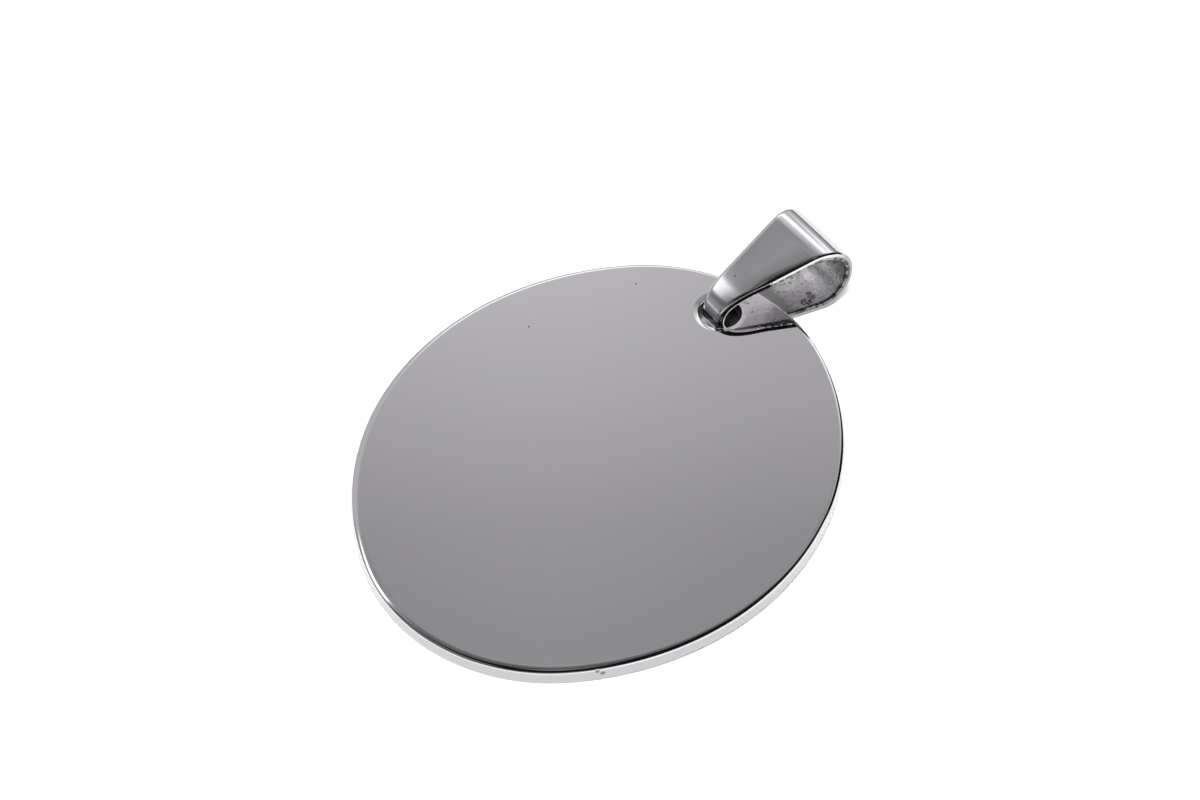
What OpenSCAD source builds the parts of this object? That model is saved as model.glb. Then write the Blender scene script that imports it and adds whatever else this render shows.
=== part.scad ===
// Oval pendant: a flat polished steel plate with one round hole, and a folded steel bail through the hole.
// It lies face up. The bail's back leg rests flat on the ground under the plate's upper end, so that end
// is lifted a little, and the plate's lower rim rests on the ground.
// The origin is on the ground, below the middle of the outer box. +Y points from the plate to the bail.

/* [Plate] */
// Length of the oval, along Y
plate_length = 36; // [30:0.5:50]
// Width of the oval, along X
plate_width = 30.33; // [26:0.01:32]
// Thickness of the sheet
plate_t = 1.2; // [0.8:0.1:2]
// Rounding of the plate's edges, at the rim and at the hole
edge_round = 0.2; // [0.05:0.05:0.3]

/* [Hole] */
// Diameter of the hole
hole_d = 2.84; // [2.8:0.01:3.2]
// Distance from the hole's centre to the upper end of the oval
hole_inset = 2.96; // [2.9:0.01:3]

/* [Bail] */
// Thickness of the strip
strip_t = 0.6; // [0.4:0.05:0.65]
// Inner diameter of the narrow fold in the hole
fold_inner_d = 2.6; // [2.6:0.05:2.8]
// Inner diameter of the wide loop
loop_inner_d = 4.1; // [3.5:0.1:6]
// Distance between the centres of the fold and the loop, along the ground
loop_reach = 5.72; // [5:0.01:8]
// How far the fold reaches past the hole's centre, toward the middle of the plate
fold_reach = 1.12; // [1:0.01:1.14]
// Angle between the bail and the plate's long axis, as it lies
bail_turn = 22; // [0:1:22]

/* [Bail Strip Width] */
// Width at the end of the fold
tip_w = 1.55; // [1.2:0.05:1.55]
// Width over the fold's centre
fold_w = 2.5; // [2:0.05:2.5]
// Width where the sides of the loop begin to straighten
shoulder_w = 4.67; // [3:0.01:5]
// Width round the loop
loop_w = 5.35; // [4:0.05:8]
// How far before the loop's centre the sides begin to straighten
shoulder_before = 0.57; // [0:0.01:2]
// How far past the loop's centre the sides are straight
straight_past = 1.17; // [0:0.01:1.2]

/* [Resting] */
// Gap between the plate and the bail's leg under it
rest_gap = 0.05; // [0.05:0.01:0.1]

/* [Hidden] */
$fn = 96;

// Oval of four arcs. The end arcs' centres lie on Y, 4 units out, and the side arcs' centres on X, 3 units out.
// The line through two neighbouring centres is 5 units long, and both arcs end on it in a common tangent.
half_l = plate_length / 2;
half_w = plate_width / 2;
arc_unit = (half_l - half_w) / 2;
end_c = 4 * arc_unit;
side_c = 3 * arc_unit;
end_r = half_l - end_c;
side_r = half_w + side_c;
// Far enough along that line, in units of it, to leave the oval
line_reach = 6;
hole_r = hole_d / 2;
hole_y = half_l - hole_inset;

// Tilt: the plate stands on its lower rim, and clears the leg at the hole's edge by the gap.
leg_run = half_l - edge_round + hole_y + hole_r * cos(bail_turn);
tilt = asin((strip_t + rest_gap) / leg_run);
lift = (half_l - edge_round) * sin(tilt) + edge_round * (1 - cos(tilt));

// Bail: d runs from the hole's centre along the bail, and z up from the ground. Both bends stand on the ground.
fold_out_r = fold_inner_d / 2 + strip_t;
loop_out_r = loop_inner_d / 2 + strip_t;
fold_d = fold_out_r - fold_reach;
loop_d = fold_d + loop_reach;
fold_c = [fold_d, fold_out_r];
loop_c = [loop_d, loop_out_r];
// Direction square to the front leg, which slopes twice as much as the line between the bends' centres
front_normal = 90 + 2 * atan2(loop_out_r - fold_out_r, loop_reach);
bail_end = loop_d + loop_out_r;
// Half of the strip's width along d
width_steps = [
    // d, half width
    [-fold_reach, tip_w / 2],
    [fold_d, fold_w / 2],
    [loop_d - shoulder_before, shoulder_w / 2],
    [loop_d + straight_past, loop_w / 2],
    [bail_end, loop_w / 2]
];

// Outer box along Y, from the plate's lower end to the bail's corner
hole_at_y = hole_y * cos(tilt);
low_y = -(half_l - edge_round) * cos(tilt) - (plate_t - edge_round) * sin(tilt) - edge_round;
high_y = hole_at_y + bail_end * cos(bail_turn) + loop_w / 2 * sin(bail_turn);
mid_y = (low_y + high_y) / 2;
// A little more than any cut needs
past = 1;

function along(angle, r) = r * [cos(angle), sin(angle)];

// Round plate with rounded edges
module round_plate(r) {
    rotate_extrude() {
        square([r - edge_round, plate_t]);
        translate([0, edge_round]) square([r, plate_t - 2 * edge_round]);
        for (z = [edge_round, plate_t - edge_round])
            translate([r - edge_round, z]) circle(edge_round);
    }
}

// The part of a round plate between two lines from its centre. One ends at corner, the other at its mirror image
module sector(r, corner, mirrored) {
    intersection() {
        round_plate(r);
        translate([0, 0, -past])
            linear_extrude(height = plate_t + 2 * past)
                polygon([[0, 0], corner, mirrored]);
    }
}

module oval() {
    x = line_reach * side_c;
    y = line_reach * end_c;
    for (side = [1, -1]) {
        translate([-side * side_c, 0, 0]) sector(side_r, [side * x, -y], [side * x, y]);
        translate([0, side * end_c, 0]) sector(end_r, [-x, side * y], [x, side * y]);
    }
}

// Round cutter for the hole, flared at both faces so that the hole's edges are rounded
module hole_cutter() {
    rotate_extrude()
        difference() {
            translate([0, -past]) square([hole_r + edge_round, plate_t + 2 * past]);
            translate([hole_r, edge_round]) square([edge_round + past, plate_t - 2 * edge_round]);
            for (z = [edge_round, plate_t - edge_round])
                translate([hole_r + edge_round, z]) circle(edge_round);
        }
}

module plate() {
    color([0.8, 0.8, 0.82])
        translate([0, -mid_y, lift])
            rotate([tilt, 0, 0])
                difference() {
                    oval();
                    translate([0, hole_y, 0]) hole_cutter();
                }
}

// Side outline round both bends, drawn inside the strip's outer face by the distance inset
module belt(inset) {
    fold_r = fold_out_r - inset;
    loop_r = loop_out_r - inset;
    translate(fold_c) circle(fold_r);
    translate(loop_c) circle(loop_r);
    polygon([
        fold_c + along(-90, fold_r),
        loop_c + along(-90, loop_r),
        loop_c + along(front_normal, loop_r),
        fold_c + along(front_normal, fold_r)
    ]);
}

// The folded strip at full width, standing along X
module folded_strip() {
    rotate([90, 0, 0])
        linear_extrude(height = loop_w, center = true)
            difference() {
                belt(0);
                belt(strip_t);
            }
}

// The strip's outline from above, along X
module strip_plan() {
    linear_extrude(height = 2 * loop_out_r + past)
        polygon(concat(
            [for (step = width_steps) [step[0], step[1]]],
            [for (i = [len(width_steps) - 1:-1:0]) [width_steps[i][0], -width_steps[i][1]]]
        ));
}

module bail() {
    color([0.72, 0.72, 0.74])
        translate([0, hole_at_y - mid_y, 0])
            rotate([0, 0, 90 - bail_turn])
                intersection() {
                    folded_strip();
                    translate([0, 0, -past / 2]) strip_plan();
                }
}

plate();
bail();
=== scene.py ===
import math

import bpy
import numpy as np
from mathutils import Matrix, Vector


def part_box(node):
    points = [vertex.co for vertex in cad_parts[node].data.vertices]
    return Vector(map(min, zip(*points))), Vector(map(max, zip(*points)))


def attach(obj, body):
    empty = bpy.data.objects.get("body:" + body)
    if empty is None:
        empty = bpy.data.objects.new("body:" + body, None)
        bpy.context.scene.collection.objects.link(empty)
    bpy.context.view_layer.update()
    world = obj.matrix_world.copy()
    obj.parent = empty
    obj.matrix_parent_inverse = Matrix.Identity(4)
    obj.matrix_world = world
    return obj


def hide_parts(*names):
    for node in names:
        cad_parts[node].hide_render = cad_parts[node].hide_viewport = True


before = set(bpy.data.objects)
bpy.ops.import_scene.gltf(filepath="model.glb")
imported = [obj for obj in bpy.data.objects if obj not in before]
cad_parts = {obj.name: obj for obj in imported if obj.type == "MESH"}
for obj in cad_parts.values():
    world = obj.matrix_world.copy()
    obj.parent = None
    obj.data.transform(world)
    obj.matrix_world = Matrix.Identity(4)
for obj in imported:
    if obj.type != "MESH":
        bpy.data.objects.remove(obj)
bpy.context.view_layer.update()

print("frame loaded:", sorted(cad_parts))

mm = 0.001  # all shapes below are worked out in millimetres


# plain helpers

def toMetres(points):
    # millimetres to metres
    return np.asarray(points) * mm


def unit(vector):
    # a vector divided by its own length
    vector = np.asarray(vector, float)
    return vector / np.linalg.norm(vector)


def turnX(angle):
    # turning about X by an angle: y and z mix by its cosine and sine
    c, s = math.cos(angle), math.sin(angle)
    return np.array([[1, 0, 0], [0, c, -s], [0, s, c]])


def smooth(share):
    # a share from 0 to 1 that starts and ends gently: 3 times its square less 2 times its cube
    return share * share * (3 - 2 * share)


def upTo(end, place, reach):
    # 1 well before the end and 0 past it: what is left to the end, over the reach
    return np.clip((end - place) / reach, 0, 1)


def between(first, last, count):
    # evenly spaced values inside two ends, without the ends
    return np.linspace(first, last, count + 2)[1:-1]


def joined(stretches):
    # columns of a table laid end to end: in each stretch a single value is repeated along its rows
    return np.concatenate([np.array(np.broadcast_arrays(*stretch), float) for stretch in stretches], axis=1)


def closedGrid(name, points, marks):
    # a grid of rows and columns, both closed into rings: each point joins the next one along and across.
    # The signed volume, a sixth of each corner triple product, says if the faces point out.
    rows, columns = points.shape[:2]
    index = np.arange(rows * columns).reshape(rows, columns)
    beside = np.roll(index, -1, axis=1)
    quads = np.stack([index, beside, np.roll(beside, -1, axis=0), np.roll(index, -1, axis=0)], -1)
    quads = quads.reshape(-1, 4)
    corners = points.reshape(-1, 3)[quads]
    volume = np.einsum("ij,ij->i", corners[:, 0], np.cross(corners[:, 1], corners[:, 2])).sum()
    volume += np.einsum("ij,ij->i", corners[:, 0], np.cross(corners[:, 2], corners[:, 3])).sum()
    if volume < 0:
        quads = quads[:, ::-1]
    mesh = bpy.data.meshes.new(name)
    mesh.vertices.add(rows * columns)
    mesh.vertices.foreach_set("co", toMetres(points).ravel())
    mesh.loops.add(quads.size)
    mesh.loops.foreach_set("vertex_index", quads.ravel())
    mesh.polygons.add(len(quads))
    mesh.polygons.foreach_set("loop_start", np.arange(0, quads.size, 4))
    mesh.polygons.foreach_set("loop_total", np.full(len(quads), 4))
    mesh.polygons.foreach_set("use_smooth", np.ones(len(quads), bool))
    for mark, values in marks.items():
        layer = mesh.attributes.new(mark, "FLOAT", "POINT")
        layer.data.foreach_set("value", np.broadcast_to(values, (rows, columns)).ravel().astype(np.float32))
    mesh.update(calc_edges=True)
    piece = bpy.data.objects.new(name, mesh)
    bpy.context.scene.collection.objects.link(piece)
    print(name, "mesh:", len(quads), "quads,", round(abs(volume) / 6, 1), "cubic mm")
    return piece


def edgeCurve(tight, soft, fade, count, peak=0.0, knee=90.0):
    # profile from a flat face round to its wall. The slope goes from 0 to a right angle in growing steps.
    # The curve's radius is tight plus soft times e to the minus distance of the slope from its peak over
    # fade. Past the knee it drops to a seventh, which leaves a crisp corner. Distance in from the wall is
    # the sum of radius times cosine of the slope, and depth the sum of radius times sine.
    slope = np.radians(90) * np.linspace(0, 1, count) ** 1.6
    middle = (slope[1:] + slope[:-1]) / 2
    radius = tight + soft * np.exp(-np.abs(np.degrees(middle) - peak) / fade)
    radius = radius * np.interp(np.degrees(middle), [knee, knee + 12], [1, 1 / 7])
    step = np.diff(slope)
    run = np.concatenate([[0], np.cumsum(radius * np.cos(middle) * step)])
    depth = np.concatenate([[0], np.cumsum(radius * np.sin(middle) * step)])
    return run[-1] - run, depth


# how the pendant lies

rest = {
    "gap": 0.05,         # between the plate and the bail's leg under it
    "bailTurn": 22.0,    # the bail's angle to the plate's long axis, in degrees
}

plateSize = {
    "length": 36.0,
    "width": 30.33,
    "thickness": 1.2,
    "edgeRound": 0.2,    # rounding that the plate stands on
    "holeRadius": 1.42,
    "holeInset": 2.96,   # from the hole's centre to the upper end
    "faceEdge": (0.22, 1.7, 11.0),     # tight radius, soft radius and fade, in degrees, at the face's rim
    "faceWear": (0.72, 0.38, -105.0),  # share of the soft part: mean, swing, and the bearing of its most
    "backEdge": (0.2, 0.0, 1.0),
    "holeEdge": (0.13, 5.5, 1.4),
    "holeSink": 8.0,     # slope of the hole's shallow countersink, in degrees
    "columns": 760,      # cuts round the oval
    "cuts": {            # cuts through each stretch of the section
        "faceEdge": 44,
        "wall": 7,
        "backEdge": 12,
        "lowEdge": 10,
        "bore": 4,
        "holeEdge": 40,
        "face": 6,
    },
    # share of its depth past which an edge has the wall's or the bore's finish: face, back and hole
    "markFrom": (0.8, 0.5, 0.6),
}

bailSize = {
    "thickness": 0.6,
    "foldInner": 1.3,    # inner radius of the narrow fold
    "loopInner": 2.05,   # inner radius of the wide loop
    "loopReach": 5.72,
    "foldReach": 1.12,
    "widths": [          # place on d, half width
        ("foldEnd", 0.775),
        ("foldCentre", 1.25),
        ("shoulder", 2.335),
        ("straight", 2.675),
    ],
    "shoulderBefore": 0.57,
    "straightPast": 1.17,
    "widthSoft": 0.6,    # length over which the corners between the widths are rounded
    "steps": 460,        # cuts round the whole strip
    "cuts": {            # cuts through each stretch of the section
        "face": 24,
        "outerEdge": 26,
        "wall": 7,
        "innerEdge": 7,
    },
    "outerEdge": (0.12, 2.5, 14.0),
    "knee": 46.0,        # slope past which the worn outer edge is crisp again, in degrees
    # share of the soft part: far side, then near side at the loop, the leg and the fold
    "edgeWear": (0.4, 0.3, 0.8, 0.25),
    "wearPast": 1.0,     # how far past the loop's reach the near side starts to change
    "wearReach": (3.5, 1.6),     # length over which it changes from loop to leg, and from leg to fold
    "innerEdge": (0.1, 0.0, 1.0),
    "crown": 0.03,       # how much the outer face falls from its middle to its sides
    "rough": {           # size and depth of the waves, and the seed that draws them
        "wall": (0.7, 0.006, 5),
        "burr": (0.28, 0.03, 8),
        "inner": (0.9, 0.004, 11),
    },
    "roughEnds": 0.5,    # length over which the waves fade out at the start and the end of the mid line
    "marks": {           # end on d and fading length of the inner face's marks; back and under carry painted shade
        "back": (6.2, 1.6),
        "under": (9.0, 2.0),
        "grime": (7.0, 2.0),
    },
    "darkLineSide": 0.8,    # side past which the inner face has its dark line
    "rawBelow": (0.95, 0.3),     # upward part of the normal below which the wall is raw and the outer face gets painted shade, and how it fades in
    "backTop": 1.0,      # height of the mid line below which it is the leg on the ground
    "edgeDepth": 0.3,    # how far the mark of depth goes below 0 on the outer face
    "foldSoft": 4.4,     # length over which the fold's bend fades into its legs
    "foldSoftEnd": (2.8, 5.2),   # where on d that fading stops
    "foldSoftTop": 2.2,  # height below which the fading is weaker, so that the fold clears the hole's edge
}

halfLength = plateSize["length"] / 2
halfWidth = plateSize["width"] / 2
arcUnit = (halfLength - halfWidth) / 2
endCentre = 4 * arcUnit
sideCentre = 3 * arcUnit
endRadius = halfLength - endCentre
sideRadius = halfWidth + sideCentre
holeY = halfLength - plateSize["holeInset"]
turn = math.radians(rest["bailTurn"])
footY = halfLength - plateSize["edgeRound"]
legTop = bailSize["thickness"] + rest["gap"]
tilt = math.asin(legTop / (footY + holeY + plateSize["holeRadius"] * math.cos(turn)))
lift = footY * math.sin(tilt) + plateSize["edgeRound"] * (1 - math.cos(tilt))
# the frame's box places the plate's lower end
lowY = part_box("plate")[0].y / mm
plateY = lowY + footY * math.cos(tilt) + (plateSize["thickness"] - plateSize["edgeRound"]) * math.sin(tilt)
plateY += plateSize["edgeRound"]
plateOrigin = np.array([0, plateY, lift])
plateTurn = turnX(tilt)
holeOnGround = np.array([0, plateY + holeY * math.cos(tilt), 0])
along = np.array([math.sin(turn), math.cos(turn), 0])
across = np.array([math.cos(turn), -math.sin(turn), 0])
print("plate tilted by", round(math.degrees(tilt), 3), "degrees, hole at y", round(holeOnGround[1], 3))


# plate

def ovalOutline(count):
    # four arcs: the outline point is an arc's centre plus its radius times the outward normal. The side arcs'
    # centres lie on X, 3 units out, the end arcs' on Y, 4 units out, and they meet where tan is 4 over 3.
    angle = np.linspace(0, 2 * np.pi, count, endpoint=False)
    normal = np.stack([np.cos(angle), np.sin(angle)], -1)
    onSide = np.abs(normal[:, 1]) < 0.8
    centre = np.where(onSide[:, None], np.sign(normal) * [-sideCentre, 0], np.sign(normal) * [0, endCentre])
    radius = np.where(onSide, sideRadius, endRadius)
    return centre + radius[:, None] * normal, normal


def makePlate():
    # rings of points: near the rim a ring is the outline moved in by an inset, near the hole it is a
    # circle moved out by an outset, and across the faces a ring is a mix of the two. They run out over
    # the face, down the wall, in over the back and up through the hole. The soft part of the face's edge
    # is worn by a share that swings with the cosine of the bearing round the rim.
    t = plateSize["thickness"]
    tight, soft, fade = plateSize["faceEdge"]
    cuts = plateSize["cuts"]
    faceFrom, backFrom, holeFrom = plateSize["markFrom"]
    faceIn, faceDown = edgeCurve(tight, 0.0, fade, cuts["faceEdge"])
    softIn, softDown = edgeCurve(0.0, soft, fade, cuts["faceEdge"])
    backIn, backUp = edgeCurve(*plateSize["backEdge"], cuts["backEdge"])
    holeOut, holeDown = edgeCurve(*plateSize["holeEdge"], cuts["holeEdge"], plateSize["holeSink"])
    lowOut, lowUp = edgeCurve(*plateSize["backEdge"], cuts["lowEdge"])
    spread = between(0, 1, cuts["face"])
    wall = between(0, 1, cuts["wall"])
    wallTop = t - faceDown[-1]
    wallHeight = wallTop + wall * (backUp[-1] - wallTop)
    bore = between(lowUp[-1], t - holeDown[-1], cuts["bore"])
    worn = softDown[-1] * (1 - wall)
    # columns: share of rim, inset, soft inset, outset, height, soft depth, mark of the wall and of the bore
    share, inset, softInset, outset, height, softDepth, onWall, inBore = joined([
        (1, faceIn, softIn, 0, t - faceDown, softDown, faceDown > faceFrom * faceDown[-1], 0),   # face's edge
        (1, 0, 0, 0, wallHeight, worn, 1, 0),
        (1, backIn[::-1], 0, 0, backUp[::-1], 0, backUp[::-1] > backFrom * backUp[-1], 0),
        (1 - spread, backIn[0], 0, lowOut[0], 0, 0, 0, 0),                                       # back
        (0, 0, 0, lowOut, lowUp, 0, 0, 1),
        (0, 0, 0, 0, bore, 0, 0, 1),
        (0, 0, 0, holeOut[::-1], t - holeDown[::-1], 0, 0, holeDown[::-1] > holeFrom * holeDown[-1]),
        (spread, faceIn[0], softIn[0], holeOut[0], t, 0, 0, 0),                                  # face
    ])
    outline, normal = ovalOutline(plateSize["columns"])
    mean, swing, bearing = plateSize["faceWear"]
    wear = mean + swing * np.cos(np.arctan2(normal[:, 1], normal[:, 0]) - math.radians(bearing))
    hole = np.array([0, holeY])
    ray = outline - hole
    ray /= np.linalg.norm(ray, axis=1, keepdims=True)
    rimPart = outline - (inset[:, None] + softInset[:, None] * wear)[..., None] * normal
    holePart = hole + (plateSize["holeRadius"] + outset)[:, None, None] * ray
    flat = share[:, None, None] * rimPart + (1 - share)[:, None, None] * holePart
    up = (height[:, None] - softDepth[:, None] * wear)[..., None]
    points = np.concatenate([flat, up], -1) @ plateTurn.T + plateOrigin
    return closedGrid("ovalPlate", points, {"wall": onWall[:, None], "bore": inBore[:, None]})


# bail

foldOuter = bailSize["foldInner"] + bailSize["thickness"]
loopOuter = bailSize["loopInner"] + bailSize["thickness"]
foldD = foldOuter - bailSize["foldReach"]
loopD = foldD + bailSize["loopReach"]
foldCentre = np.array([foldD, foldOuter])
loopCentre = np.array([loopD, loopOuter])
frontNormal = math.pi / 2 + 2 * math.atan2(loopOuter - foldOuter, bailSize["loopReach"])


def beltPath():
    # the strip's mid line, closed: round the fold, up the front leg, round the loop and back over the ground.
    # On a bend a point is the centre plus the mid radius times the normal, and the legs join the bends. The
    # line is cut into equal steps. Near the fold a running mean of the points then eases the bend into the
    # legs. The normal is the central difference of the points, turned by a right angle.
    half = bailSize["thickness"] / 2
    foldTurn = np.linspace(1.5 * np.pi, frontNormal, 400)[:, None]
    loopTurn = np.linspace(frontNormal, -0.5 * np.pi, 400)[:, None]
    foldPart = foldCentre + (foldOuter - half) * np.hstack([np.cos(foldTurn), np.sin(foldTurn)])
    loopPart = loopCentre + (loopOuter - half) * np.hstack([np.cos(loopTurn), np.sin(loopTurn)])
    corner = np.vstack([foldPart, loopPart, foldPart[:1]])
    length = np.concatenate([[0], np.cumsum(np.linalg.norm(np.diff(corner, axis=0), axis=1))])
    steps = bailSize["steps"]
    at = np.linspace(0, length[-1], steps, endpoint=False)
    path = np.stack([np.interp(at, length, corner[:, axis]) for axis in (0, 1)], -1)
    reach = int(round(bailSize["foldSoft"] / 2 / length[-1] * steps))
    window = np.hanning(2 * reach + 3)[1:-1]
    window /= window.sum()
    ring = np.concatenate([path[-reach:], path, path[:reach]])
    eased = np.stack([np.convolve(ring[:, axis], window, mode="valid") for axis in (0, 1)], -1)
    near, far = bailSize["foldSoftEnd"]
    share = smooth(upTo(far, path[:, :1], far - near))
    share = share * np.clip(path[:, 1:] / bailSize["foldSoftTop"], 0.3, 1)
    path = path + (eased - path) * share
    ahead = np.roll(path, -1, axis=0) - np.roll(path, 1, axis=0)
    ahead /= np.linalg.norm(ahead, axis=1, keepdims=True)
    return path, np.stack([-ahead[:, 1], ahead[:, 0]], -1)


def halfWidthAt(d):
    # straight lines between the table's widths, then a running mean, over a hundred values to the millimetre,
    # that rounds their corners
    places = {"foldEnd": -bailSize["foldReach"], "foldCentre": foldD,
              "shoulder": loopD - bailSize["shoulderBefore"], "straight": loopD + bailSize["straightPast"]}
    fine = np.linspace(-3, 12, 1501)
    soft = round(bailSize["widthSoft"] * 100)
    plain = np.interp(fine, [places[name] for name, _ in bailSize["widths"]],
                      [half for _, half in bailSize["widths"]])
    window = np.hanning(2 * soft + 1)
    rounded = np.convolve(np.pad(plain, soft, mode="edge"), window / window.sum(), mode="valid")
    return np.interp(d, fine, rounded)


def ripple(u, v, size, seed, many=18):
    # waves in many directions added up, about -1 to 1: each is the sine of u and v over the size, turned and
    # shifted by seeded random amounts
    dice = np.random.default_rng(seed)
    turns = dice.uniform(0, np.pi, many)
    counts = dice.uniform(0.5, 1.5, many) * 2 * np.pi / size
    shifts = dice.uniform(0, 2 * np.pi, many)
    waves = [np.sin(count * (u * math.cos(a) + v * math.sin(a)) + shift)
             for a, count, shift in zip(turns, counts, shifts)]
    return sum(waves) / 5


def makeBail():
    # a section carried along the mid line. A section point has a side from -1 to 1, an inset from the
    # strip's edge and an offset out from the mid line. Its place across the strip is side times half
    # width less inset, and the half width follows d of the point itself, so the strip tapers in plan. The
    # cut side walls are rough and the inner face is uneven: waves over the length along and across take a
    # little metal away. The marks say where a point is, for the finish: depth runs from -0.3 on the outer
    # face over 0 at the wall's top to 1 at the inner face.
    half = bailSize["thickness"] / 2
    cuts = bailSize["cuts"]
    tight, soft, fade = bailSize["outerEdge"]
    outIn, outDown = edgeCurve(tight, 0.0, fade, cuts["outerEdge"], knee=bailSize["knee"])
    softIn, softDown = edgeCurve(0.0, soft, fade, cuts["outerEdge"], knee=bailSize["knee"])
    inIn, inDown = edgeCurve(*bailSize["innerEdge"], cuts["innerEdge"])
    face = between(-1, 1, cuts["face"])
    wall = between(half - outDown[-1], inDown[-1] - half, cuts["wall"])
    inward = between(0, 1, cuts["wall"])
    fall = softDown[-1] * (1 - inward)
    edgeDepth = bailSize["edgeDepth"]
    onEdge = edgeDepth * (outDown / outDown[-1] - 1)
    # columns: side, inset, soft inset, offset, soft depth, marks of outer face, inner face and corner, depth
    side, inset, softInset, offset, softDepth, outer, inner, corner, depth = joined([
        (face, outIn[0], softIn[0], half, 0, 1, 0, 0, -edgeDepth),          # outer face
        (1, outIn, softIn, half - outDown, softDown, 1, 0, 0, onEdge),      # and down the near side
        (1, 0, 0, wall, fall, 0, 0, 0, inward),
        (1, inIn[::-1], 0, inDown[::-1] - half, 0, 0, 0, 1, 1),
        (-face, inIn[0], 0, -half, 0, 0, 1, 0, 1),                          # inner face
        (-1, inIn, 0, inDown - half, 0, 0, 0, 1, 1),                        # and up the far side
        (-1, 0, 0, wall[::-1], fall[::-1], 0, 0, 0, inward[::-1]),
        (-1, outIn[::-1], softIn[::-1], half - outDown[::-1], softDown[::-1], 1, 0, 0, onEdge[::-1]),
    ])[:, :, None]
    path, normal = beltPath()
    step = np.linalg.norm(np.roll(path, -1, axis=0) - path, axis=1)
    run = np.concatenate([[0], np.cumsum(step)[:-1]])
    d = path[:, 0] + offset * normal[:, 0]
    farWear, loopWear, legWear, foldWear = bailSize["edgeWear"]
    toLeg, toFold = bailSize["wearReach"]
    byFold = smooth(upTo(bailSize["foldSoftEnd"][0], d, toFold))
    byLeg = upTo(bailSize["loopReach"] + bailSize["wearPast"], d, toLeg)
    nearWear = loopWear + (legWear - loopWear) * byLeg + (foldWear - legWear) * byFold
    wear = farWear + (side + 1) / 2 * (nearWear - farWear)
    sideways = side * (halfWidthAt(d) - inset - softInset * wear)
    share = sideways / halfWidthAt(d)
    # the waves fade out where the start and the end of the mid line meet, because they differ there
    ends = np.clip(np.minimum(run, run[-1] - run) / bailSize["roughEnds"], 0, 1)
    (wallSize, wallDepth, wallSeed), (burrSize, burrDepth, burrSeed), (innerSize, innerDepth, innerSeed) = (
        bailSize["rough"][name] for name in ("wall", "burr", "inner"))
    hammered = np.clip(0.5 + 0.5 * ripple(run, offset + 9 * side, wallSize, wallSeed), 0, 1.4)
    burrs = np.maximum(ripple(run, sideways + 3 * offset, burrSize, burrSeed) - 0.25, 0)
    uneven = np.clip(0.5 + 0.5 * ripple(run, sideways, innerSize, innerSeed), 0, 1.4)
    cut = (1 - outer - inner) * hammered * wallDepth + corner * burrs * burrDepth
    sideways = sideways - np.sign(side) * cut * ends
    out = offset - softDepth * wear - outer * bailSize["crown"] * share ** 2
    out = out + inner * uneven * innerDepth * ends
    plane = path + out[..., None] * normal
    points = holeOnGround + plane[..., :1] * along + sideways[..., None] * across
    points = points + plane[..., 1:] * np.array([0, 0, 1])
    onBack = path[:, 1] < bailSize["backTop"]
    fades = {name: upTo(end, d, reach) for name, (end, reach) in bailSize["marks"].items()}
    rawEnd, rawReach = bailSize["rawBelow"]
    # where the strip turns away from up: the raw cut wall, and painted shade on the outer face round the
    # loop's end
    raw = upTo(rawEnd, normal[:, 1], rawReach) * (1 - byFold)
    # under and back mark where the inner face gets painted shade: under the upper leg, and on the leg under
    # the plate
    return closedGrid("bailStrip", points, {
        "inner": inner, "outer": outer, "corner": corner, "fold": byFold, "depth": depth,
        "back": fades["back"] * onBack, "under": fades["under"] * ~onBack, "raw": raw * (1 - inner),
        "grime": inner * (side > bailSize["darkLineSide"]) * ~onBack * fades["grime"]})


# node graphs

class Wire:
    # an output socket, with arithmetic that adds Math nodes
    def __init__(self, graph, socket):
        self.graph = graph
        self.socket = socket

    def math(self, operation, *others):
        sockets = {place: value for place, value in enumerate((self,) + others)}
        return self.graph.add("Math", {"operation": operation}, sockets)

    def __add__(self, other):
        return self.math("ADD", other)

    def __sub__(self, other):
        return self.math("SUBTRACT", other)

    def __mul__(self, other):
        return self.math("MULTIPLY", other)

    def __truediv__(self, other):
        return self.math("DIVIDE", other)

    def __rsub__(self, other):
        return self.graph.add("Math", {"operation": "SUBTRACT"}, {0: other, 1: self})

    def __neg__(self):
        return self * -1

    __radd__ = __add__
    __rmul__ = __mul__


class Graph:
    # a node tree, emptied first
    def __init__(self, tree):
        self.tree = tree
        tree.nodes.clear()

    def add(self, kind, settings=None, sockets=None, output=0):
        # settings come first, because some of them change which sockets a node has
        node = self.tree.nodes.new("ShaderNode" + kind)
        for name, value in (settings or {}).items():
            if name == "stops":
                ramp = node.color_ramp.elements
                while len(ramp) < len(value):
                    ramp.new(1)
                for element, (place, level) in zip(ramp, value):
                    element.position = place
                    element.color = (level, level, level, 1)
            else:
                setattr(node, name, value)
        for place, value in (sockets or {}).items():
            if isinstance(value, Wire):
                self.tree.links.new(value.socket, node.inputs[place])
            else:
                node.inputs[place].default_value = value
        return Wire(self, node.outputs[output]) if node.outputs else node

    def dot(self, vector, fixed):
        return self.add("VectorMath", {"operation": "DOT_PRODUCT"}, {0: vector, 1: tuple(fixed)}, "Value")

    def mark(self, name):
        # a number that the mesh carries at each point
        return self.add("Attribute", {"attribute_name": name}, output="Fac")

    def noise(self, place, scale, detail, **more):
        return self.add("TexNoise", {}, {"Vector": place, "Scale": scale, "Detail": detail, **more})

    def mix(self, share, first, second):
        # a colour between two, by share
        return self.add("Mix", {"data_type": "RGBA"}, {0: share, 6: first, 7: second}, 2)

    def rise(self, value, low, high):
        # 0 below low, 1 above high, smooth between
        return self.add("MapRange", {"interpolation_type": "SMOOTHSTEP"}, {0: value, 1: low, 2: high})


def newMaterial(name):
    material = bpy.data.materials.new(name)
    material.use_nodes = True
    return material, Graph(material.node_tree)


# finishes

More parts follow.
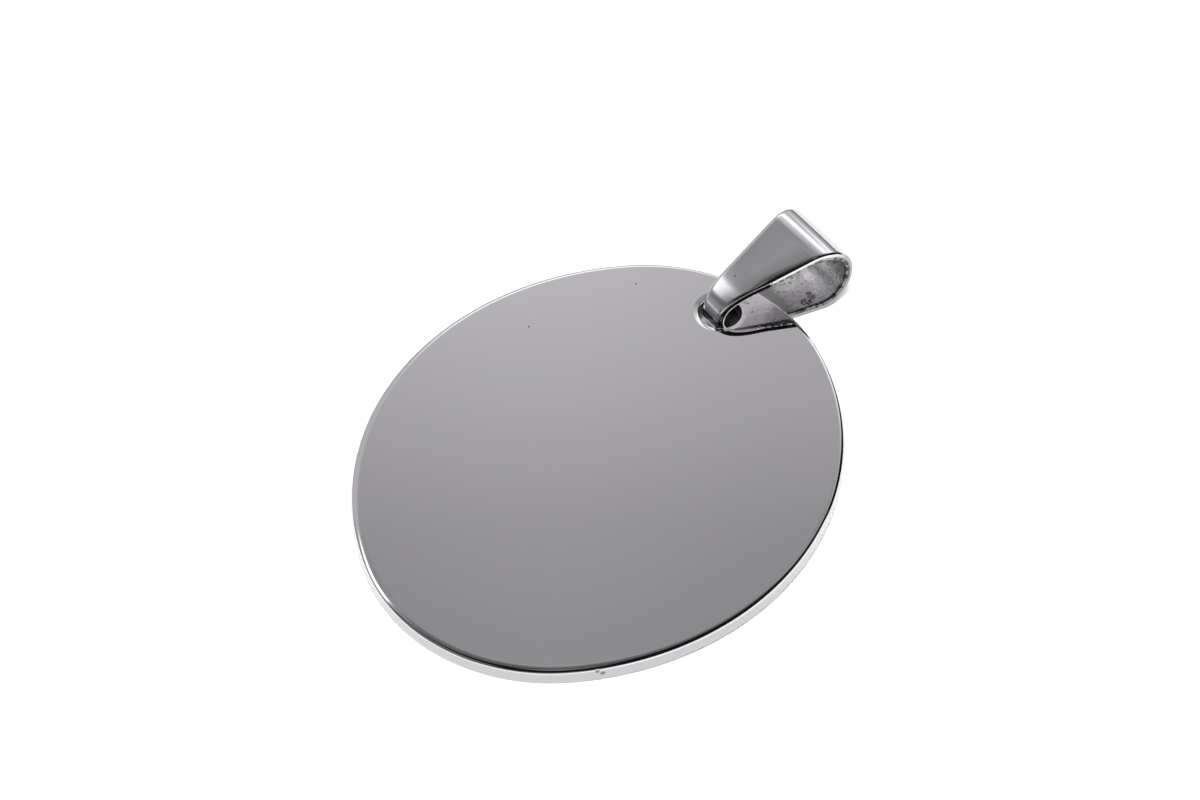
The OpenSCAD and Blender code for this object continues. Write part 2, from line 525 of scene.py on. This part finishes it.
plateFinish = {
    "color": (0.632, 0.615, 0.641, 1),
    # painted shade: the wall darker than the face's steel, which tones down its reflection of the bright
    # floor
    "wallShade": (0.455, 0.443, 0.46, 1),
    # painted shade: the bore's dark colour stands for the shade inside the hole
    "boreShade": (0.16, 0.155, 0.155, 1),
    "nickColor": (0.12, 0.115, 0.12, 1),
    "faceRoughness": 0.015,
    "cloudRoughness": 0.01,
    "wallRoughness": 0.14,
    "nickRoughness": 0.3,
    "grainScale": 900.0,
    "cloudScale": 90.0,
    "relief": 0.002,     # depth of the wall's brushing
    "pits": [            # x, y and size on the face
        (-9.99, 7.06, 0.1),
        (-6.05, 14.16, 0.08),
    ],
    "wallNicks": [       # bearing, height and size on the wall
        (-47.4, 0.92, 0.2),
        (-46.4, 0.68, 0.23),
    ],
}

bailFinish = {
    "color": (0.652, 0.635, 0.661, 1),
    "endShade": (0.42, 0.41, 0.42, 1),       # painted shade on the outer face round the loop's end, darker than its steel where it turns away from up
    "sideHighlight": (0.72, 0.71, 0.72, 1),      # painted highlight: the cut wall on the upper leg, paler than the steel
    "sideLow": (0.34, 0.332, 0.342, 1),      # of that wall's inner half
    "rawColor": (0.36, 0.351, 0.361, 1),     # of the cut wall round the loop and along the ground
    "innerPale": (0.82, 0.8, 0.825, 1),      # the inner face is mottled between these two
    "innerDark": (0.5, 0.487, 0.504, 1),
    "underShade": (0.52, 0.507, 0.523, 1),   # painted shade: darker inner face on the upper leg, its underside
    "backShade": (0.22, 0.215, 0.218, 1),    # painted shade on the inner face toward the fold, on the leg under the plate
    "tornGlint": (0.92, 0.91, 0.92, 1),      # painted highlight: near-white, not metal, for the torn corner's glint at the fold
    "pitColor": (0.06, 0.058, 0.06, 1),
    "outerRoughness": 0.03,
    "foldRoughness": 0.16,
    "sideRoughness": 0.035,
    "rawRoughness": 0.12,
    "innerRoughness": 0.36,
    "tornRoughness": 0.4,
    "mottleScale": 4200.0,
    "blotchScale": 620.0,
    "pitScale": 2600.0,
    "dashScale": 2400.0,
    "relief": 0.016,     # depth of the inner face's texture
    "wander": 0.3,       # how far the wall's lines stray from their depth
    "blotchShare": 0.35,         # of the coarse noise in the inner face's mottling, the rest is the fine one
    "mottleRange": (0.38, 0.62),   # noise at which it is all dark and all pale
    "pitEdge": (0.12, 0.34),     # distances from a cell's middle, in cells, between which a pit ends
    "pitPatches": (0.47, 0.6),   # coarse noise below which there are no pits, and above which all
    "lowHalf": (0.4, 0.56),      # depths between which the wall turns to its inner half's colour
    "burrDepth": (0.7, 0.8),     # depths between which its broken dark line sets in
    "burrDash": (0.47, 0.53),    # noise below and above which that line is broken and whole
    "seams": [           # middle, half width and strength of the raw wall's dark lines
        (0.02, 0.12, 0.6),
        (0.75, 0.3, 0.6),
    ],
    "blots": [           # d, height, sideways and size of the stains: five inside the loop, one on the leg
        (6.6, 0.6, 1.25, 0.3),
        (6.62, 0.6, 1.6, 0.34),
        (5.84, 0.6, 1.66, 0.4),
        (6.05, 0.6, 1.85, 0.4),
        (6.24, 0.6, 1.6, 0.32),
        (1.41, 4.03, -0.38, 0.11),
    ],
    "raggedFrom": 0.2,   # stains smaller than this are clean dots
}


def onFace(x, y):
    # a place on the plate's face, in metres
    return tuple(toMetres(plateTurn @ np.array([x, y, plateSize["thickness"]]) + plateOrigin))


def onWall(bearing, height):
    # a place on the plate's wall, by the bearing of its outward normal, in metres
    angle = math.radians(bearing)
    x, y = sideRadius * math.cos(angle) - sideCentre, sideRadius * math.sin(angle)
    return tuple(toMetres(plateTurn @ np.array([x, y, height]) + plateOrigin))


def speck(graph, place, centre, size):
    # 1 at a spot's middle, 0 outside it: a step over the distance from its centre
    away = graph.add("VectorMath", {"operation": "DISTANCE"}, {0: place, 1: centre}, "Value")
    return 1 - graph.rise(away, 0.4 * size * mm, size * mm)


def polishedPlate():
    # a mirror face, a finely brushed wall in painted shade darker than the face, and a rough bore painted
    # dark as the hole's shade, with the few nicks of the real one
    finish = plateFinish
    material, graph = newMaterial("polishedPlate")
    place = graph.add("TexCoord", output="Object")
    wall, bore = graph.mark("wall"), graph.mark("bore")
    grain = graph.noise(place, finish["grainScale"], 4.0)
    cloud = graph.noise(place, finish["cloudScale"], 3.0)
    nicks = 0
    for x, y, size in finish["pits"]:
        nicks = speck(graph, place, onFace(x, y), size) + nicks
    for bearing, height, size in finish["wallNicks"]:
        nicks = speck(graph, place, onWall(bearing, height), size) + nicks
    roughness = finish["faceRoughness"] + (wall + bore * 2) * (finish["wallRoughness"] * grain * 2)
    roughness = roughness + cloud * finish["cloudRoughness"] + nicks * finish["nickRoughness"]
    # painted shade: the wall takes its darker colour
    color = graph.mix(wall, finish["color"], finish["wallShade"])
    # painted shade: the bore takes its dark colour
    color = graph.mix(bore, color, finish["boreShade"])
    color = graph.mix(nicks * 0.75, color, finish["nickColor"])
    height = grain * (wall + bore) - nicks * 8
    bump = graph.add("Bump", {}, {"Strength": 1.0, "Distance": finish["relief"] * mm, "Height": height})
    shader = graph.add("BsdfPrincipled", {}, {
        "Base Color": color, "Metallic": 1.0, "Roughness": roughness, "Normal": bump})
    graph.add("OutputMaterial", {}, {"Surface": shader})
    return material


def polishedStrip():
    # bright outside, duller round the fold, and mottled grey inside where the strip was never polished.
    # Painted shade darkens the inner face under the upper leg and on the leg under the plate, and the outer
    # face round the loop's end. The cut wall has a painted highlight above and is grey below, with a broken
    # dark line along it, and raw round the loop. The torn corner at the fold has a painted highlight.
    finish = bailFinish
    material, graph = newMaterial("polishedStrip")
    place = graph.add("TexCoord", output="Object")
    outer, inner, corner, fold, back, under, grime, raw, depth = (graph.mark(name) for name in (
        "outer", "inner", "corner", "fold", "back", "under", "grime", "raw", "depth"))
    mottle = graph.noise(place, finish["mottleScale"], 4.0, Roughness=0.7)
    blotch = graph.noise(place, finish["blotchScale"], 3.0)
    dashes = graph.noise(place, finish["dashScale"], 2.0)
    cells = graph.add("TexVoronoi", {}, {"Vector": place, "Scale": finish["pitScale"]}, "Distance")
    pits = (1 - graph.rise(cells, *finish["pitEdge"])) * graph.rise(blotch, *finish["pitPatches"])
    pits = pits * (1 - outer)
    wander = depth + (dashes - 0.5) * finish["wander"]

    coarse = finish["blotchShare"]
    mottleTone = graph.rise(blotch * coarse + mottle * (1 - coarse), *finish["mottleRange"])
    dull = graph.mix(mottleTone, finish["innerDark"], finish["innerPale"])
    # painted shade: the upper leg's underside turns darker
    dull = graph.mix(under * 0.8, dull, finish["underShade"])
    # painted shade: the inner face of the leg under the plate darkens toward the fold
    dull = graph.mix(back * (1.25 - mottleTone * 0.5), dull, finish["backShade"])
    # painted shade: the outer face takes the darker end colour where it turns away from up
    bright = graph.mix(raw, finish["color"], finish["endShade"])
    # painted highlight: the upper part of the cut wall is paler than the steel; its inner half is grey
    side = graph.mix(graph.rise(wander, *finish["lowHalf"]), finish["sideHighlight"], finish["sideLow"])
    side = graph.mix(raw * (0.5 + mottle), side, finish["rawColor"])
    color = graph.mix(inner, graph.mix(outer, side, bright), dull)

    burr = (1 - inner) * graph.rise(wander, *finish["burrDepth"]) * graph.rise(dashes, *finish["burrDash"])
    seams = 0
    for middle, half, strength in finish["seams"]:
        seam = 1 - graph.rise((wander - middle).math("ABSOLUTE"), half * 0.5, half)
        seams = seam * strength * (0.5 + mottle) + seams
    # darker marks: pits, the wall's broken line, a line along the inner face's near edge on the upper leg,
    # the raw wall's lines
    dark = pits * 0.7 + burr * (1 - fold) + grime * (0.5 + dashes) + seams * raw * (1 - inner)
    for d, height, sideways, size in finish["blots"]:
        spot = holeOnGround + d * along + sideways * across + np.array([0, 0, height])
        ragged = graph.rise(mottle, 0.4, 0.55) if size > finish["raggedFrom"] else 0.5
        dark = speck(graph, place, tuple(toMetres(spot)), size) * ragged + dark
    torn = corner * fold
    color = graph.mix(dark.math("MINIMUM", 1.0), color, finish["pitColor"])
    # painted highlight: the torn corner at the fold turns near-white
    color = graph.mix(torn, color, finish["tornGlint"])

    rough = finish["sideRoughness"] * (1 - inner) + finish["innerRoughness"] * inner * (1 - under * 0.7)
    gloss = finish["outerRoughness"] + fold * finish["foldRoughness"] * (0.6 + blotch * 0.8)
    roughness = rough * (1 - outer) * (0.5 + mottle) + outer * gloss
    roughness = roughness + torn * finish["tornRoughness"] + (1 - outer) * raw * finish["rawRoughness"]
    height = mottle * (inner + (1 - outer) * 0.4) - pits * 1.5
    bump = graph.add("Bump", {}, {"Strength": 1.0, "Distance": finish["relief"] * mm, "Height": height})
    shader = graph.add("BsdfPrincipled", {}, {
        "Base Color": color, "Metallic": 1 - torn, "Roughness": roughness, "Normal": bump})
    graph.add("OutputMaterial", {}, {"Surface": shader})
    return material


# studio

view = {
    "distance": 225.0,        # from the camera to the middle of the plate's face
    "elevation": 49.98,       # above the plate's plane, in degrees
    "azimuth": 32.3,          # from behind the plate's lower end toward +X, in degrees
    "photoWidth": 1200.0,
    "photoHeight": 800.0,
    "focalPixels": 3504.0,
    "centrePixel": (599.4, 457.6),   # where the middle of the face appears
    "sensorWidth": 36.0,
}


def makeCamera():
    # the camera stands at its distance from the face's middle along its direction, turned so that the middle
    # appears at its own pixel: forward is the line of sight plus the pixel's offset over the focal length
    e, a = math.radians(view["elevation"]), math.radians(view["azimuth"])
    toCamera = plateTurn @ np.array([math.cos(e) * math.sin(a), -math.cos(e) * math.cos(a), math.sin(e)])
    right = plateTurn @ np.array([math.cos(a), math.sin(a), 0])
    up = np.cross(toCamera, right)
    target = plateTurn @ np.array([0, 0, plateSize["thickness"]]) + plateOrigin
    aside = (view["photoWidth"] / 2 - view["centrePixel"][0]) / view["focalPixels"]
    above = (view["centrePixel"][1] - view["photoHeight"] / 2) / view["focalPixels"]
    back = unit(toCamera - aside * right - above * up)
    right = unit(np.cross(up, back))
    up = np.cross(back, right)
    camera = bpy.data.objects.new("camera", bpy.data.cameras.new("camera"))
    bpy.context.scene.collection.objects.link(camera)
    place = Matrix(np.stack([right, up, back], 1).tolist()).to_4x4()
    place.translation = Vector(toMetres(target + view["distance"] * toCamera))
    camera.matrix_world = place
    camera.data.sensor_width = view["sensorWidth"]
    camera.data.lens = view["focalPixels"] / view["photoWidth"] * view["sensorWidth"]
    camera.data.clip_start = 0.01
    camera.data.clip_end = 20
    bpy.context.scene.camera = camera
    print("camera at", [round(value, 4) for value in place.translation])


floorLook = {
    "half": 3.0,         # half the floor's side
    "paint": (0.86, 0.86, 0.86, 1),
    "glowFrom": 0.12,    # distance from the middle at which the floor starts to glow
    "glowTo": 1.1,       # and where the glow is full
    "glow": 0.8,
}


def makeFloor():
    # a flat square on the ground. Far from the pendant, where the lamp no longer reaches, it glows instead:
    # the glow rises over the distance from the middle, and keeps the floor white as far as it goes.
    half = floorLook["half"]
    mesh = bpy.data.meshes.new("floor")
    corners = [(-half, -half, 0), (half, -half, 0), (half, half, 0), (-half, half, 0)]
    mesh.from_pydata(corners, [], [(0, 1, 2, 3)])
    floor = bpy.data.objects.new("floor", mesh)
    bpy.context.scene.collection.objects.link(floor)
    material, graph = newMaterial("paleFloor")
    place = graph.add("TexCoord", output="Object")
    away = graph.add("VectorMath", {"operation": "LENGTH"}, {0: place}, "Value")
    glow = graph.rise(away, floorLook["glowFrom"], floorLook["glowTo"])
    light = graph.mix(glow, (0, 0, 0, 1), (floorLook["glow"],) * 3 + (1,))
    shader = graph.add("BsdfPrincipled", {}, {
        "Base Color": floorLook["paint"], "Roughness": 0.9, "Specular IOR Level": 0.0,
        "Emission Color": light, "Emission Strength": 1.0})
    graph.add("OutputMaterial", {}, {"Surface": shader})
    mesh.materials.append(material)


studio = {
    # bearings turn from the camera's side toward the photo's right, elevations go up from the floor, all in
    # degrees. Straight behind, the light at each elevation:
    "back": [(0, 0.3), (4, 0.35), (8, 0.6), (13, 0.8), (28, 0.86), (31, 1.05), (33, 2.2), (39, 2.2),
             (42, 1.3), (45, 1.0), (48, 0.81), (50, 0.68), (52, 0.53), (54, 0.46), (58.5, 0.53), (61, 0.36),
             (64, 0.26), (70, 0.22), (77, 0.16), (84, 0.05), (90, 0.02)],
    # patches laid over it in turn: bearing from and to, elevation from and to, softness of both, light
    "patches": [
        ("paleBackLeft", (-166, -122), (4, 47), (4, 3), 0.82),
        ("whiteBackRight", (148, 161), (18, 40), (3, 3), 1.8),
        ("lowLeft", (-124, -78), (-20, 36), (4, 3), 0.5),
        ("darkNear", (-76, 134), (-20, 140), (6, 3), 0.03),
        ("darkCeiling", (-104, 134), (48, 140), (6, 4), 0.012),
        ("dimLeft", (-100, -34), (22, 60), (6, 6), 0.2),
        ("brightNear", (-36, 24), (-20, 10), (6, 4), 1.4),
        ("brightRight", (14, 108), (-20, 24), (5, 4), 1.7),
        ("darkHorizonLeft", (-176, -98), (-6, 7), (6, 3), 0.06),
        ("darkRight", (109, 147), (-20, 46), (3, 2), 0.012),
        ("dimNear", (-84, 20), (9, 31), (6, 6), 0.34),
        ("dimTop", (-200, 200), (84, 100), (1, 4), 0.42),
    ],
    # a tilted box of light at the left: bearing, elevation, roll, half length, half height, softness, light
    "box": (-118, 43.5, -41, 0.25, 0.125, 0.025, 2.7),
    "bow": (-178, 8, 0.15),   # the back's brighter middle: bearing, reach and how much brighter
    "ground": 1.1,
    "backdrop": 1.4,   # what the camera sees past the floor
    "lamp": {"size": 0.8, "height": 1.2, "forward": 0.55, "watts": 29.0},   # forward is toward the camera
}


def lightBox(graph, direction, toCamera):
    # a rectangle on a plane: a direction's place on it is its part along one of the two axes over its part
    # along the centre, and the roll turns the axes
    bearing, elevation, roll, length, height, soft, light = studio["box"]
    a, e, r = toCamera + math.radians(bearing), math.radians(elevation), math.radians(roll)
    centre = np.array([math.cos(e) * math.cos(a), math.cos(e) * math.sin(a), math.sin(e)])
    level = np.array([-math.sin(a), math.cos(a), 0])
    upward = np.cross(centre, level)
    ahead = graph.dot(direction, centre)
    mask = graph.rise(ahead, 0.05, 0.1)
    for axis, half in ((math.cos(r) * level + math.sin(r) * upward, length),
                       (math.cos(r) * upward - math.sin(r) * level, height)):
        away = (graph.dot(direction, axis) / ahead).math("ABSOLUTE")
        mask = mask * (1 - graph.rise(away, half - soft, half + soft))
    return mask, light


def lightPatch(graph, bearing, elevation, bearings, elevations, soft):
    # 1 inside the patch, 0 outside: how far a direction is from the middle, against half the patch's size
    mask = 1.0
    for value, (low, high), blur in ((bearing, bearings, soft[0]), (elevation, elevations, soft[1])):
        middle, half = (low + high) / 2, (high - low) / 2
        away = (value - middle).math("WRAP", 180.0, -180.0).math("ABSOLUTE")
        mask = (1 - graph.rise(away, half - blur, half + blur)) * mask
    return mask


def makeLight():
    # the sky is one ramp over elevation with soft patches over it. A lamp above and toward the camera, which
    # polished steel does not mirror, brightens the floor and throws the shadows behind the pieces.
    world = bpy.data.worlds.new("studio")
    bpy.context.scene.world = world
    world.use_nodes = True
    graph = Graph(world.node_tree)
    direction = graph.add("TexCoord", output="Generated")
    toCamera = math.radians(view["azimuth"] - 90)
    ahead = graph.dot(direction, (math.cos(toCamera), math.sin(toCamera), 0))
    aside = graph.dot(direction, (-math.sin(toCamera), math.cos(toCamera), 0))
    bearing = aside.math("ARCTAN2", ahead) * math.degrees(1)
    elevation = graph.dot(direction, (0, 0, 1)).math("ARCSINE") * math.degrees(1)
    stops = [(height / 90, level) for height, level in studio["back"]]
    level = graph.add("ValToRGB", {"stops": stops}, {0: elevation / 90})
    middle, reach, gain = studio["bow"]
    aside = (bearing - middle).math("WRAP", 180.0, -180.0).math("ABSOLUTE")
    level = level * (1 + (1 - graph.rise(aside, 0.0, reach)) * gain)
    for _, bearings, elevations, soft, light in studio["patches"]:
        mask = lightPatch(graph, bearing, elevation, bearings, elevations, soft)
        level = level * (1 - mask) + mask * light
    mask, light = lightBox(graph, direction, toCamera)
    level = level * (1 - mask) + mask * light
    below = graph.rise(-elevation, 0.0, 0.5)
    level = level * (1 - below) + below * studio["ground"]
    # seen straight on, beyond the floor, the room is plain white
    seen = graph.add("LightPath", output="Is Camera Ray")
    level = level * (1 - seen) + seen * studio["backdrop"]
    background = graph.add("Background", {}, {"Strength": level})
    graph.add("OutputWorld", {}, {"Surface": background})
    lamp = bpy.data.lights.new("overhead", "AREA")
    lamp.shape = "DISK"
    lamp.size = studio["lamp"]["size"]
    lamp.energy = studio["lamp"]["watts"]
    lampObject = bpy.data.objects.new("overhead", lamp)
    forward, height = studio["lamp"]["forward"], studio["lamp"]["height"]
    lampObject.location = (forward * math.cos(toCamera), forward * math.sin(toCamera), height)
    lampObject.visible_glossy = False
    lampObject.visible_camera = False
    bpy.context.scene.collection.objects.link(lampObject)
    print("studio light:", len(studio["patches"]), "patches, a box and a lamp")


bpy.context.scene.view_settings.view_transform = "Standard"
makeCamera()
makeFloor()
makeLight()

plate = makePlate()
plate.data.materials.append(polishedPlate())
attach(plate, "plate")
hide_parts("plate")

bail = makeBail()
bail.data.materials.append(polishedStrip())
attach(bail, "bail")
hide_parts("bail")
